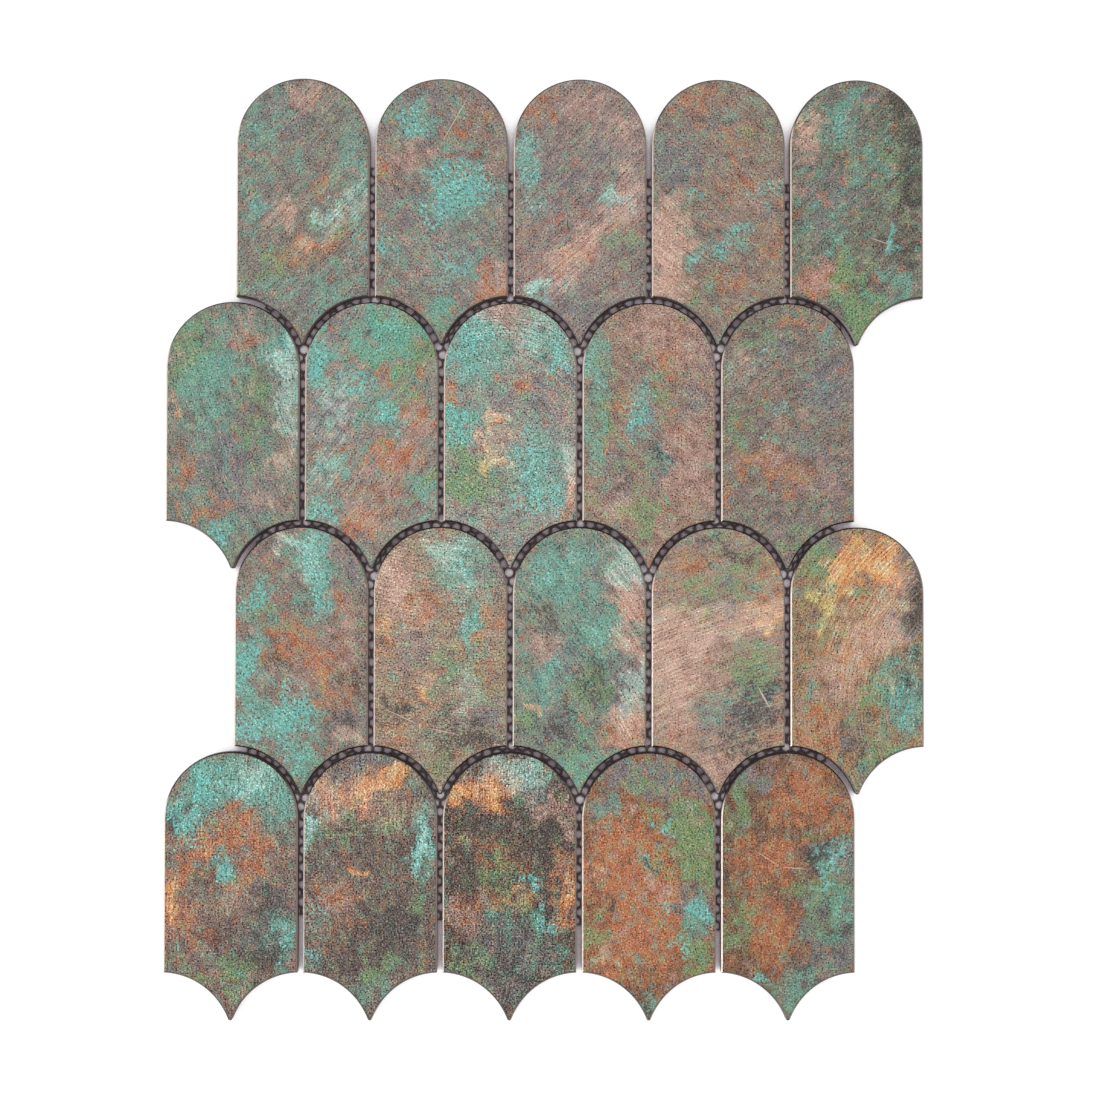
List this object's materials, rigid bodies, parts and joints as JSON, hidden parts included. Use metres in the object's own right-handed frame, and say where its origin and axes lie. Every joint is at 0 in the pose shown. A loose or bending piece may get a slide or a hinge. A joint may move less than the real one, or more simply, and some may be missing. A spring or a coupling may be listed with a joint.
{
  "type": "fish scale tile",
  "caption": "Flat mosaic sheet of round-topped, pointed metal fish scales in staggered rows on a backing net, brushed copper and verdigris, for facing walls.",
  "frame": {"origin": "under the middle of the sheet, in the plane of the net's back that beds on the wall", "axes": "+X along a row to the right, +Y up the sheet towards the domes, +Z out of the finished face"},
  "size_m": [0.273, 0.339, 0.0045],
  "materials": {
    "patina_metal": "brushed metal, printed copper and verdigris patina, satin",
    "net_plastic": "matt black plastic"
  },
  "bodies": {
    "root": {"scale_row1_col1": "patina_metal", "scale_row1_col2": "patina_metal", "scale_row1_col3": "patina_metal", "scale_row1_col4": "patina_metal", "scale_row1_col5": "patina_metal", "scale_row2_col1": "patina_metal", "scale_row2_col2": "patina_metal", "scale_row2_col3": "patina_metal", "scale_row2_col4": "patina_metal", "scale_row2_col5": "patina_metal", "scale_row3_col1": "patina_metal", "scale_row3_col2": "patina_metal", "scale_row3_col3": "patina_metal", "scale_row3_col4": "patina_metal", "scale_row3_col5": "patina_metal", "scale_row4_col1": "patina_metal", "scale_row4_col2": "patina_metal", "scale_row4_col3": "patina_metal", "scale_row4_col4": "patina_metal", "scale_row4_col5": "patina_metal", "backing_net": "net_plastic"}
  },
  "joints": []
}
